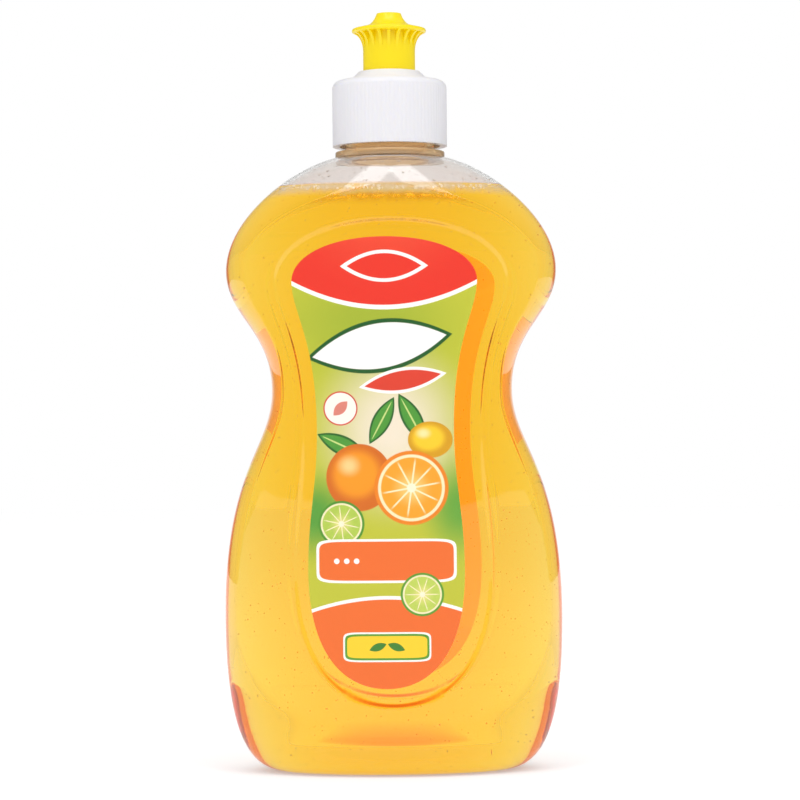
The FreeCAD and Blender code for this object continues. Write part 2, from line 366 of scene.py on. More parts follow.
@dataclass
class Skin:
    """Closed skin made of level rings, with columns that follow the recess step and the panel crease."""

    form: BodyForm
    column_counts: tuple[int, ...] = (11, 3, 7, 3, 6, 4, 11)
    step_margin: float = 0.45
    crease_margin: float = 0.4
    least_crease: float = 0.45
    least_recess: float = 0.5
    small_ring: float = 20.0

    def reaches(self, ring: Ring) -> list[float]:
        """Places of one quarter's columns.

        Args:
            ring: The ring that the columns cross.

        Returns:
            Reach of each column from the middle to the side, in mm.
        """
        scale = min(1.0, ring.half_width / self.small_ring)
        crease = max(self.form.crease(ring), self.least_crease * ring.half_width)
        edge = self.least_recess * crease
        floor = 0.4 * crease
        if ring.inset is not None:
            edge_outline, floor_outline, _ = self.form.recess_tree(ring.inset)
            edge = max(edge, edge_outline.reach(ring.height))
            floor = max(floor, floor_outline.reach(ring.height))
        floor = min(floor, edge - self.form.recess.step_width * scale)
        step = self.step_margin * scale
        soft = self.crease_margin * scale
        knots = [0.0, floor - step, floor + step, edge - step, edge + step, crease - soft, crease + soft]
        places = [0.0]
        for count, low, high in zip(self.column_counts, knots, knots[1:]):
            places += [low + (high - low) * index / count for index in range(1, count + 1)]
        count = self.column_counts[-1]
        start = math.asin(knots[-1] / ring.half_width)
        for index in range(1, count + 1):
            places.append(ring.half_width * math.sin(start + (math.pi / 2 - start) * index / count))
        return places

    def depth_at(self, reach: float, ring: Ring) -> float:
        """Half depth of a ring at a reach: the softer of its oval and the panel."""
        share = min(reach / ring.half_width, 1.0)
        side = ring.half_depth * math.sqrt(1 - share * share)
        if ring.inset is None:
            return side
        face = self.form.panel(reach, ring.inset) - self.form.recess_depth(reach, ring.height, ring.inset)
        blend = max(self.form.crease_blend - abs(side - face), 0.0) / self.form.crease_blend
        return min(side, face) - blend * blend * self.form.crease_blend / 4

    def points(self, ring: Ring) -> list[Vector]:
        """Places of a ring's vertices in metres, from the front middle by the right and the back."""
        reaches = self.reaches(ring)
        depths = [self.depth_at(reach, ring) for reach in reaches]
        depths[-1] = 0.0
        last = len(reaches) - 1
        quarter = [(reaches[index], depths[index]) for index in range(last)]
        turned = [(reaches[index], depths[index]) for index in range(last, 0, -1)]
        corners = [(x, -y) for x, y in quarter] + [(x, y) for x, y in turned]
        corners += [(-x, y) for x, y in quarter] + [(-x, -y) for x, y in turned]
        return [Vector((x, y, ring.height)) * MM for x, y in corners]

    def build(self, rings: list[Ring], closed_ends: int = 2) -> bmesh.types.BMesh:
        """Draw a skin through its rings by extruding one to the next.

        Args:
            rings: Rings in order.
            closed_ends: How many ends are closed to a point, counted from the last one.

        Returns:
            The skin, with its faces pointing outward, or upward on an open one.
        """
        mesh = bmesh.new()
        column = mesh.verts.layers.int.new("column")
        count = 4 * sum(self.column_counts)
        circle = bmesh.ops.create_circle(mesh, cap_ends=False, segments=count, radius=MM)
        for index, vert in enumerate(circle["verts"]):
            vert[column] = index
        verts = circle["verts"]
        edges = list(mesh.edges)
        ends = [verts]
        for place, ring in enumerate(rings):
            if place:
                made = bmesh.ops.extrude_edge_only(mesh, edges=edges)["geom"]
                verts = [item for item in made if isinstance(item, bmesh.types.BMVert)]
                fresh = set(verts)
                edges = [item for item in made
                         if isinstance(item, bmesh.types.BMEdge) and fresh.issuperset(item.verts)]
                for item in made:
                    if isinstance(item, bmesh.types.BMFace):
                        item.material_index = ring.zone
            points = self.points(ring)
            for vert in verts:
                vert.co = points[vert[column]]
        ends.append(verts)
        for end in ends[2 - closed_ends:]:
            middle = Vector((0.0, 0.0, end[0].co.z))
            bmesh.ops.pointmerge(mesh, verts=end, merge_co=middle)
        bmesh.ops.recalc_face_normals(mesh, faces=mesh.faces)
        return mesh


def finish_mesh(mesh: bmesh.types.BMesh, name: str, sharp_degrees: float) -> bpy.types.Object:
    """Turn a bmesh to an object with smooth faces and sharp folds.

    Args:
        mesh: The finished bmesh, which is freed.
        name: Name of the piece.
        sharp_degrees: Folds sharper than this keep a hard edge.

    Returns:
        The new object, linked to the scene.
    """
    data = bpy.data.meshes.new(name)
    mesh.to_mesh(data)
    mesh.free()
    for polygon in data.polygons:
        polygon.use_smooth = True
    data.set_sharp_from_angle(angle=math.radians(sharp_degrees))
    piece = bpy.data.objects.new(name, data)
    bpy.context.scene.collection.objects.link(piece)
    LOG.info("%s: %d faces", name, len(data.polygons))
    return piece


def eased(low: float, high: float, count: int, power: float) -> list[float]:
    """Heights from low to below high, closer together at the low end for a power over 1."""
    return [low + (high - low) * (index / count) ** power for index in range(count)]


def body_levels(top: float) -> list[float]:
    """Levels of the body's rings, closer where the heel, recess ends and dome bend most."""
    spans = ((0.0, 5.0, 13, 2.0), (5.0, 12.0, 12, 1.0), (12.0, 18.5, 7, 1.0), (18.5, 22.5, 18, 1.0),
             (22.5, 30.0, 24, 1.0), (30.0, 148.0, 100, 1.0), (148.0, 155.0, 20, 1.0),
             (155.0, 159.5, 20, 1.0), (159.5, 172.0, 34, 1.0))
    levels = [level for span in spans for level in eased(*span)]
    levels += [176.2 - drop for drop in reversed(eased(0.0, 4.2, 10, 1.8))]
    return [level for level in levels if level < top] + [top]


@dataclass(frozen=True)
class ClearPolyester:
    """Blown PET wall: glass clear, glossy and a little wavy; where soap wets it, it all but vanishes.

    Inside the headspace a film of dried soap mists it, and the thick neck is hazy.
    """

    name: str = "clear_blown_polyester"
    ior: float = 1.57
    roughness: float = 0.012
    tint: str = "#fefdfb"
    clear_share: float = 1.0
    ripple_mm: float = 14.0
    ripple_depth_mm: float = 0.012

    def material(self) -> bpy.types.Material:
        """Make the material."""
        material, tree = new_material(self.name)
        surface = add_node(tree, "BsdfPrincipled", {
            "Base Color": colour(self.tint),
            "Roughness": self.roughness,
            "IOR": self.ior,
            "Transmission Weight": self.clear_share,
            "Normal": relief(tree, self.ripple_mm, self.ripple_depth_mm, 1.0),
        })
        add_node(tree, "OutputMaterial", {"Surface": surface.outputs[0]})
        return material


@dataclass(frozen=True)
class AmberSoap:
    """Dish soap: clear amber liquid, yellow through a thin layer and orange through a deep one.

    The wetted wall bends the light at the soap's sides, so the body itself has an IOR of one. Its free
    surface and the air bubbles in it are pieces of their own, with the soap's IOR against air.
    """

    ior: float = 1.36
    red_per_m: float = 0.3
    green_per_m: float = 14.0
    blue_per_m: float = 95.0
    density: float = 100.0
    froth_shade: str = "#fff0dc"
    froth_glow: float = 0.8
    froth_noise: Point = (0.35, 0.6)
    froth_cover: Point = (0.55, 0.85)
    # The wall's film of froth is drawn as a painted glow in this colour, for the light that its froth
    # scatters.
    film_shade: str = "#f6d9ae"
    film_glow: float = 0.85
    film_noise: Point = (0.3, 0.65)
    film_cover: Point = (0.35, 0.9)
    patch_mm: float = 2.5

    def body(self) -> bpy.types.Material:
        """Make the body's material; the density carries the losses per metre in the colour."""
        material, tree = new_material("amber_dish_soap")
        surface = add_node(tree, "BsdfPrincipled", {
            "Base Color": (1.0, 1.0, 1.0, 1.0),
            "Roughness": 0.0,
            "IOR": 1.0,
            "Transmission Weight": 1.0,
        })
        losses = (self.red_per_m, self.green_per_m, self.blue_per_m)
        red, green, blue = (1 - loss / self.density for loss in losses)
        volume = add_node(tree, "VolumeAbsorption", {
            "Color": (red, green, blue, 1.0),
            "Density": self.density,
        })
        add_node(tree, "OutputMaterial", {"Surface": surface.outputs[0], "Volume": volume.outputs[0]})
        return material

    def patches(self, tree: bpy.types.NodeTree, noise: Point, cover: Point) -> bpy.types.NodeSocket:
        """Add the share of a face that froth covers, in patches.

        Args:
            tree: Node tree that gets the patches.
            noise: Noise levels at which the froth is thinnest and thickest.
            cover: Share that it covers there.

        Returns:
            The socket of the share.
        """
        place = add_node(tree, "TexCoord")
        swells = add_node(tree, "TexNoise", {
            "Vector": place.outputs["Object"],
            "Scale": 1 / (self.patch_mm * MM),
            "Detail": 3.0,
        })
        return add_node(tree, "MapRange", {
            "Value": swells.outputs["Fac"],
            "From Min": noise[0],
            "From Max": noise[1],
            "To Min": cover[0],
            "To Max": cover[1],
        }).outputs[0]

    def interface(self, name: str, ior: float, frothy: bool = False) -> bpy.types.Material:
        """Make a clear interface.

        Args:
            name: Name of the material.
            ior: IOR of what lies behind the faces against what lies before them.
            frothy: Whether patches of froth cover it, which glow with the light scattered in them.

        Returns:
            The material.
        """
        material, tree = new_material(name)
        surface = add_node(tree, "BsdfPrincipled", {
            "Base Color": (1.0, 1.0, 1.0, 1.0),
            "Roughness": 0.0,
            "IOR": ior,
            "Transmission Weight": 1.0,
        })
        if frothy:
            cover = add_node(tree, "Emission", {
                "Color": colour(self.froth_shade),
                "Strength": self.froth_glow,
            })
            surface = add_node(tree, "MixShader", {
                0: self.patches(tree, self.froth_noise, self.froth_cover),
                1: surface.outputs[0],
                2: cover.outputs[0],
            })
        add_node(tree, "OutputMaterial", {"Surface": surface.outputs[0]})
        return material


    def film(self, low: float, high: float) -> bpy.types.Material:
        """Make the film of froth on the wall, drawn as a painted glow, which thins out downward and in
        patches.

        Args:
            low: Height in mm at which it ends.
            high: Height in mm at which it is thickest.

        Returns:
            The material.
        """
        material, tree = new_material("froth_film")
        place = add_node(tree, "TexCoord")
        axes = add_node(tree, "SeparateXYZ", {0: place.outputs["Object"]})
        climb = add_node(tree, "MapRange", {
            "Value": axes.outputs["Z"],
            "From Min": low * MM,
            "From Max": high * MM,
        }, interpolation_type="SMOOTHSTEP")
        share = add_node(tree, "Math", {
            0: self.patches(tree, self.film_noise, self.film_cover),
            1: climb.outputs[0],
        }, operation="MULTIPLY")
        clear = add_node(tree, "BsdfTransparent")
        cover = add_node(tree, "Emission", {"Color": colour(self.film_shade), "Strength": self.film_glow})
        surface = add_node(tree, "MixShader", {0: share.outputs[0], 1: clear.outputs[0], 2: cover.outputs[0]})
        add_node(tree, "OutputMaterial", {"Surface": surface.outputs[0]})
        return material


@dataclass(frozen=True)
class MouldedPlastic:
    """Injection-moulded polypropylene: satin skin with a faint grain, and light that sinks in a little."""

    name: str
    shade: str
    roughness: float = 0.32
    subsurface: float = 0.15
    # The real grain is finer; it is drawn as coarse as it needs to be to show.
    grain_mm: float = 0.5
    grain_depth_mm: float = 0.01
    let_through: float = 0.0
    # Emission in the shade's colour: a painted glow, for pieces that look lit where little light reaches
    # them.
    glow: float = 0.0

    def material(self) -> bpy.types.Material:
        """Make the material."""
        material, tree = new_material(self.name)
        surface = add_node(tree, "BsdfPrincipled", {
            "Base Color": colour(self.shade),
            "Roughness": self.roughness,
            "IOR": 1.49,
            "Subsurface Weight": self.subsurface,
            "Subsurface Radius": (1.0, 0.9, 0.6),
            "Subsurface Scale": 1.5 * MM,
            "Emission Color": colour(self.shade),
            "Emission Strength": self.glow,
            "Normal": relief(tree, self.grain_mm, self.grain_depth_mm, 2.0),
        })
        if self.let_through:
            through = add_node(tree, "BsdfTranslucent", {"Color": colour(self.shade)})
            surface = add_node(tree, "MixShader", {
                0: self.let_through,
                1: surface.outputs[0],
                2: through.outputs[0],
            })
        add_node(tree, "OutputMaterial", {"Surface": surface.outputs[0]})
        return material


@dataclass
class Print:
    """Flat inks laid one over another on a label, placed in mm from the label's middle and the ground."""

    tree: bpy.types.NodeTree
    middle: float
    ink: bpy.types.NodeSocket | None = None
    edge: float = 0.03

    def __post_init__(self) -> None:
        """Lay out the label's own flat coordinates."""
        place = add_node(self.tree, "TexCoord")
        axes = add_node(self.tree, "SeparateXYZ", {0: place.outputs["Object"]})
        flat = add_node(self.tree, "CombineXYZ", {"X": axes.outputs["X"], "Y": axes.outputs["Z"]})
        self.flat = flat.outputs[0]
        self.facing = place.outputs["Normal"]

    def local(self, centre: Point, half: Point, turn: float = 0.0) -> bpy.types.NodeSocket:
        """Coordinates of a motif, which run from -1 to 1 over its size.

        Args:
            centre: Its middle in mm.
            half: Its half width and half height in mm; a negative one mirrors it.
            turn: Its turn to the left in degrees.

        Returns:
            The socket of the coordinates.
        """
        return add_node(self.tree, "Mapping", {
            "Vector": self.flat,
            "Location": ((centre[0] + self.middle) * MM, centre[1] * MM, 0.0),
            "Rotation": (0.0, 0.0, math.radians(turn)),
            "Scale": (half[0] * MM, half[1] * MM, 1.0),
        }, vector_type="TEXTURE").outputs[0]

    def lay(self, field: bpy.types.NodeSocket, shade: str, soft: float = 0.0, most: float = 1.0) -> None:
        """Lay an ink where a field is under one.

        Args:
            field: Field that is under one inside the motif.
            shade: Colour of the ink.
            soft: How wide the edge fades inward, as a share of the motif.
            most: How strong the ink is at most.
        """
        mask = add_node(self.tree, "MapRange", {
            "Value": field,
            "From Min": 1.0 - max(soft, self.edge),
            "From Max": 1.0,
            "To Min": most,
            "To Max": 0.0,
        }, interpolation_type="SMOOTHSTEP")
        mixed = add_node(self.tree, "Mix", {
            0: mask.outputs[0],
            6: self.ink or colour(shade),
            7: colour(shade),
        }, data_type="RGBA")
        self.ink = mixed.outputs[2]

    def oval(self, centre: Point, half: Point, shade: str, turn: float = 0.0, soft: float = 0.0,
             most: float = 1.0) -> None:
        """Lay an oval."""
        reach = add_node(self.tree, "VectorMath", {0: self.local(centre, half, turn)}, operation="LENGTH")
        self.lay(reach.outputs["Value"], shade, soft, most)

    def bar(self, centre: Point, half: Point, shade: str, turn: float = 0.0) -> None:
        """Lay a bar with rounded corners."""
        power = self.local(centre, half, turn)
        for _ in range(2):
            power = add_node(self.tree, "VectorMath", {0: power, 1: power}, operation="MULTIPLY").outputs[0]
        field = add_node(self.tree, "VectorMath", {0: power, 1: power}, operation="DOT_PRODUCT")
        self.lay(field.outputs["Value"], shade)

    def leaf(self, centre: Point, half: Point, shade: str, turn: float = 0.0) -> None:
        """Lay a leaf or lens with a point at each end."""
        axes = add_node(self.tree, "SeparateXYZ", {0: self.local(centre, half, turn)})
        thick = add_node(self.tree, "Math", {0: axes.outputs["Y"]}, operation="ABSOLUTE")
        field = add_node(self.tree, "Math", {
            0: axes.outputs["X"],
            1: axes.outputs["X"],
            2: thick.outputs[0],
        }, operation="MULTIPLY_ADD")
        self.lay(field.outputs[0], shade)

    def swell(self, centre: Point, half: Point, rise: float, shade: str) -> None:
        """Lay all that is over a bow, or under it where the half height is negative."""
        axes = add_node(self.tree, "SeparateXYZ", {0: self.local(centre, half)})
        bow = add_node(self.tree, "Math", {0: axes.outputs["X"], 1: axes.outputs["X"]}, operation="MULTIPLY")
        bow = add_node(self.tree, "Math", {0: bow.outputs[0], 1: rise, 2: 1.0}, operation="MULTIPLY_ADD")
        field = add_node(self.tree, "Math", {0: bow.outputs[0], 1: axes.outputs["Y"]}, operation="SUBTRACT")
        self.lay(field.outputs[0], shade)

    def wheel(self, centre: Point, radius: float, rind: str, flesh: str, turn: float = 0.0) -> None:
        """Lay a slice of a round fruit: rind, pith, flesh in segments and a pale heart."""
        self.oval(centre, (radius, radius), rind)
        self.oval(centre, (0.9 * radius, 0.9 * radius), "#fbf3c8")
        self.oval(centre, (0.82 * radius, 0.82 * radius), flesh)
        self.oval(centre, (0.6 * radius, 0.6 * radius), "#fff0a0", soft=0.9, most=0.55)
        place = self.local(centre, (radius, radius), turn)
        axes = add_node(self.tree, "SeparateXYZ", {0: place})
        away = add_node(self.tree, "VectorMath", {0: place}, operation="LENGTH").outputs["Value"]
        angle = add_node(self.tree, "Math", {0: axes.outputs["Y"], 1: axes.outputs["X"]}, operation="ARCTAN2")
        wave = add_node(self.tree, "Math", {0: angle.outputs[0], 1: 5.0}, operation="MULTIPLY")
        wave = add_node(self.tree, "Math", {0: wave.outputs[0]}, operation="SINE")
        wave = add_node(self.tree, "Math", {0: wave.outputs[0]}, operation="ABSOLUTE")
        wall = add_node(self.tree, "Math", {0: wave.outputs[0], 1: away}, operation="MULTIPLY")
        wall = add_node(self.tree, "Math", {0: wall.outputs[0], 1: 0.13}, operation="DIVIDE")
        inside = add_node(self.tree, "Math", {0: away, 1: 0.84}, operation="DIVIDE")
        field = add_node(self.tree, "Math", {0: wall.outputs[0], 1: inside.outputs[0]}, operation="MAXIMUM")
        self.lay(field.outputs[0], "#fbf3c8", 0.3)
        self.oval(centre, (0.12 * radius, 0.12 * radius), "#fdf8dc")

    def fruit(self, centre: Point, half: Point, shade: str, dark: str, light: str) -> None:
        """Lay a whole round fruit with a dark edge and a soft highlight."""
        self.oval(centre, half, dark)
        self.oval((centre[0] - 0.08 * half[0], centre[1] + 0.1 * half[1]),
                  (0.9 * half[0], 0.88 * half[1]), shade, soft=0.45)
        self.oval((centre[0] - 0.3 * half[0], centre[1] + 0.35 * half[1]),
                  (0.45 * half[0], 0.4 * half[1]), light, soft=0.9, most=0.8)

    def foliage(self, centre: Point, half: Point, turn: float) -> None:
        """Lay a green leaf with a lighter blade and a midrib."""
        self.leaf(centre, half, "#1f6b2c", turn)
        self.leaf(centre, (0.9 * half[0], 0.78 * half[1]), "#4fa03c", turn)
        self.oval(centre, (0.8 * half[0], 0.09 * half[1]), "#cfe48a", turn)


@dataclass(frozen=True)
class LabelPaper:
    """Coated label paper: glossy inks on its face; its plain back glows with the light that comes through."""

    name: str
    let_through: float = 0.12
    roughness: float = 0.3
    blank: str = "#fdfbf6"
    lit_back: str = "#ffd9a6"
    back_glow: float = 0.65
    # Real paper fibres are finer; they are drawn as coarse as they need to be to show.
    fibre_mm: float = 0.6
    fibre_depth_mm: float = 0.006

    def material(self, draw: Callable[[Print], None], middle: float, outward: float) -> bpy.types.Material:
        """Make the material.

        Args:
            draw: Lays the inks.
            middle: The label's shift to the right in mm.
            outward: Which way along Y the printed face looks, 1 or -1.

        Returns:
            The material.
        """
        material, tree = new_material(self.name)
        inks = Print(tree, middle)
        draw(inks)
        facing = add_node(tree, "SeparateXYZ", {0: inks.facing})
        printed = add_node(tree, "Math", {0: facing.outputs["Y"], 1: outward}, operation="MULTIPLY")
        printed = add_node(tree, "Math", {0: printed.outputs[0], 1: 0.0}, operation="GREATER_THAN")
        shade = add_node(tree, "Mix", {
            0: printed.outputs[0],
            6: colour(self.blank),
            7: inks.ink,
        }, data_type="RGBA")
        lit = add_node(tree, "Mix", {
            0: printed.outputs[0],
            6: colour(self.lit_back),
            7: (0.0, 0.0, 0.0, 1.0),
        }, data_type="RGBA")
        face = add_node(tree, "BsdfPrincipled", {
            "Base Color": shade.outputs[2],
            "Roughness": self.roughness,
            "IOR": 1.5,
            "Emission Color": lit.outputs[2],
            "Emission Strength": self.back_glow,
            "Normal": relief(tree, self.fibre_mm, self.fibre_depth_mm, 2.0),
        })
        glow = add_node(tree, "BsdfTranslucent", {"Color": colour(self.blank)})
        both = add_node(tree, "MixShader", {0: self.let_through, 1: face.outputs[0], 2: glow.outputs[0]})
        add_node(tree, "OutputMaterial", {"Surface": both.outputs[0]})
        return material


@dataclass
class Labels:
    """The front and back labels: plain fields, fruit and leaves, with bare panels where words would be."""

    front_middle: float = -1.9
    back_middle: float = 1.0
    header: str = "#ee3526"
    field: str = "#c5cb3c"
    orange: str = "#f2742e"
    lemon: str = "#ffd92e"
    dark_green: str = "#14602a"

    def draw_field(self, inks: Print) -> None:
        """Lay the yellow-green field, pale in its middle and greener below, and the red header."""
        inks.oval((0.0, 90.0), (400.0, 400.0), self.field)
        inks.oval((-4.0, 128.0), (34.0, 22.0), "#a9bc35", soft=0.9)
        inks.oval((2.0, 98.0), (26.0, 30.0), "#f3ead6", soft=0.95)
        inks.oval((-20.0, 74.0), (15.0, 16.0), "#5aa63d", soft=0.9)
        inks.oval((21.0, 76.0), (14.0, 18.0), "#6cae3f", soft=0.9)
        inks.swell((0.0, 131.7), (24.0, 1.0), 6.0, "#ffffff")
        inks.swell((0.0, 133.0), (24.0, 1.0), 6.0, self.header)

    def draw_front(self, inks: Print) -> None:
        """Lay the front label's inks."""
        self.draw_field(inks)
        inks.oval((0.0, 158.0), (30.0, 22.0), "#f4563a", soft=0.9, most=0.7)
        inks.leaf((0.0, 144.0), (12.5, 4.6), "#ffffff")
        inks.leaf((0.0, 144.0), (10.6, 3.6), self.header)
        inks.leaf((-1.5, 121.5), (21.0, 7.6), self.dark_green, 9.0)
        inks.leaf((-1.5, 121.5), (19.3, 6.4), "#ffffff", 9.0)
        inks.leaf((5.0, 111.8), (12.6, 3.6), "#ffffff", 9.0)
        inks.leaf((5.0, 111.8), (11.0, 2.7), "#e2432f", 9.0)
        inks.oval((-12.6, 104.0), (4.9, 4.9), "#d94a3c")
        inks.oval((-12.6, 104.0), (4.5, 4.5), "#fdfaf5")
        inks.leaf((-12.6, 104.0), (2.8, 1.5), "#e08a7c", 45.0)
        for centre, half, turn in (((-1.0, 100.5), (7.5, 2.6), 62.0), ((7.5, 101.0), (8.0, 2.8), 118.0),
                                   ((-12.0, 93.5), (8.0, 2.8), 155.0)):
            inks.foliage(centre, half, turn)
        inks.fruit((-7.5, 84.5), (9.4, 9.6), "#f9a01c", "#d9701a", "#ffe3a0")
        inks.fruit((12.6, 95.0), (6.4, 5.2), "#fbd42a", "#dba416", "#fff6bf")
        inks.wheel((7.2, 81.5), 10.6, "#f08a1c", "#fbab2a", 10.0)
        inks.wheel((-12.6, 71.5), 6.6, "#4f9a32", "#b6d356", 24.0)
        inks.bar((0.0, 61.0), (19.8, 6.2), "#ffffff")
        inks.bar((0.0, 61.0), (19.0, 5.5), self.orange)
        for reach in (-14.0, -11.2, -8.4):
            inks.oval((reach, 61.0), (0.8, 0.8), "#ffffff")
        inks.swell((0.0, 51.2), (22.0, -1.0), 4.0, "#ffffff")
        inks.swell((0.0, 50.2), (22.0, -1.0), 4.0, self.orange)
        inks.wheel((10.0, 51.5), 6.2, "#5aa334", "#c3da62", 0.0)
        inks.bar((0.0, 36.8), (12.4, 4.2), "#ffffff")
        inks.bar((0.0, 36.8), (11.9, 3.7), "#5aa334")
        inks.bar((0.0, 36.8), (11.3, 3.1), self.lemon)
        inks.leaf((-2.6, 36.8), (2.6, 1.1), "#3c8a34", 20.0)
        inks.leaf((2.6, 36.8), (2.6, 1.1), "#3c8a34", -20.0)

    def draw_back(self, inks: Print) -> None:
        """Lay the back label's inks."""
        self.draw_field(inks)
        inks.bar((0.0, 112.0), (16.5, 13.5), "#fdfcf6")
        inks.bar((0.0, 80.0), (14.5, 14.0), "#fdfcf6")
        inks.bar((0.0, 56.0), (16.5, 6.0), self.lemon)
        inks.swell((0.0, 44.2), (22.0, -1.0), 4.0, "#ffffff")
        inks.swell((0.0, 43.2), (22.0, -1.0), 4.0, self.orange)
        inks.wheel((0.0, 35.0), 5.6, "#5aa334", "#c3da62", 0.0)

    def build(self) -> None:
        """Dress both labels."""
        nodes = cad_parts
        front = LabelPaper("front_label_print")
        back = LabelPaper("back_label_print")
        dress(nodes["front_label"], front.material(self.draw_front, self.front_middle, -1.0))
        dress(nodes["back_label"], back.material(self.draw_back, self.back_middle, 1.0))
        LOG.info("labels: dressed")


@dataclass
class BlownBottle:
    """The clear shell from the base's middle, up the outside, over the neck's rim and down the inside."""

    form: BodyForm
    wall: float = 0.7
    ring_radius: float = 15.8
    ring_top: float = 178.0
    neck_radius: float = 13.2
    bore_radius: float = 10.9
    neck_top: float = 196.2
    rounding: float = 0.3
    thread_pitch: float = 4.233
    thread_turns: float = 1.5
    thread_depth: float = 0.85
    thread_root: float = 2.2
    thread_crest: float = 0.9
    thread_above_ring: float = 9.0
    thread_sink: float = 0.3
    thread_steps: int = 64
    wetted_to: float = 167.5
    dry: ClearPolyester = ClearPolyester()
    wetted: ClearPolyester = ClearPolyester("soap_wetted_polyester", 1.154, 0.0, "#ffffff")
    neck: ClearPolyester = ClearPolyester("thick_polyester_neck", 1.57, 0.03, "#ffe0b0", 0.72)
    misted: ClearPolyester = ClearPolyester("misted_polyester", 1.57, 0.03, "#ece6e3", 0.96)

    def base_rings(self, inset: float) -> list[Ring]:
        """Rings of the pushed-up base, from its middle out to the standing ring."""
        half_width, half_depth, rise = (size + inset for size in self.form.push_up)
        rings = []
        for share in (0.02, 0.15, 0.3, 0.45, 0.6, 0.72, 0.82, 0.9, 0.95, 0.98, 0.995):
            rings.append(Ring(half_width * share, half_depth * share, rise * math.sqrt(1 - share * share)))
        rings.append(Ring(half_width + 0.2, half_depth + 0.2, inset))
        return rings

    def neck_rings(self) -> list[Ring]:
        """Rings from the support ring over the rim and down the bore."""
        soft = self.rounding
        outer = self.ring_radius
        neck = self.neck_radius
        bore = self.bore_radius
        under = self.form.height
        profile = [
            (outer - 0.1, under + 0.05), (outer, under + soft), (outer, self.ring_top - soft),
            (outer - soft / 3, self.ring_top - soft / 3), (outer - soft, self.ring_top),
            (neck + soft, self.ring_top), (neck + soft / 3, self.ring_top + soft / 3),
            (neck, self.ring_top + soft), (neck, 184.0), (neck, 190.0), (neck, self.neck_top - soft),
            (neck - soft / 3, self.neck_top - soft / 3), (neck - soft, self.neck_top),
            (bore + soft, self.neck_top), (bore + soft / 3, self.neck_top - soft / 3),
            (bore, self.neck_top - soft), (bore, 190.0), (bore, 184.0), (bore, self.ring_top),
            (bore + 0.1, under - 0.1), (bore + 0.5, under - self.wall + 0.1),
            (bore + 1.4, under - self.wall),
        ]
        return [Ring(radius, radius, height, zone=2) for radius, height in profile]

    def rings(self) -> list[Ring]:
        """All rings of the shell in order."""
        levels = body_levels(self.form.height)
        outside = [self.form.ring(level, 0.0) for level in levels]
        inside = [self.form.ring(level, self.wall) for level in reversed(levels)]
        lining = list(reversed(self.base_rings(self.wall)))
        wall = inside + lining
        wall = [replace(ring, zone=1 if ring.height < self.wetted_to else 3) for ring in wall]
        return self.base_rings(0.0) + outside + self.neck_rings() + wall

    def thread(self) -> bpy.types.Object:
        """Wind the thread ridge round the neck, with its foot a little inside the neck's wall."""
        mesh = bmesh.new()
        root = self.neck_radius - self.thread_sink
        crest = self.neck_radius + self.thread_depth
        start = self.ring_top + self.thread_above_ring
        half_root = self.thread_root / 2
        half_crest = self.thread_crest / 2
        corners = [(root, -half_root), (crest, -half_crest), (crest, half_crest), (root, half_root)]
        verts = [mesh.verts.new(Vector((reach, 0.0, start + rise)) * MM) for reach, rise in corners]
        section = mesh.faces.new(verts)
        turns = self.thread_turns
        steps = int(self.thread_steps * turns)
        climb = self.thread_pitch * turns / steps * MM
        bmesh.ops.spin(mesh, geom=[section, *section.verts, *section.edges], cent=(0.0, 0.0, 0.0),
                       axis=(0.0, 0.0, 1.0), dvec=(0.0, 0.0, climb), angle=2 * math.pi * turns, steps=steps)
        bmesh.ops.recalc_face_normals(mesh, faces=mesh.faces)
        return finish_mesh(mesh, "neck_thread", 30.0)

    def build(self) -> None:
        """Make the shell and its thread, dress them and let them ride."""
        shell = finish_mesh(Skin(self.form).build(self.rings()), "bottle_shell", 50.0)
        thread = self.thread()
        neck = self.neck.material()
        dress(shell, self.dry.material(), self.wetted.material(), neck, self.misted.material())
        dress(thread, neck)
        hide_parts("bottle")
        for piece in (shell, thread):
            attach(piece, "bottle_body")


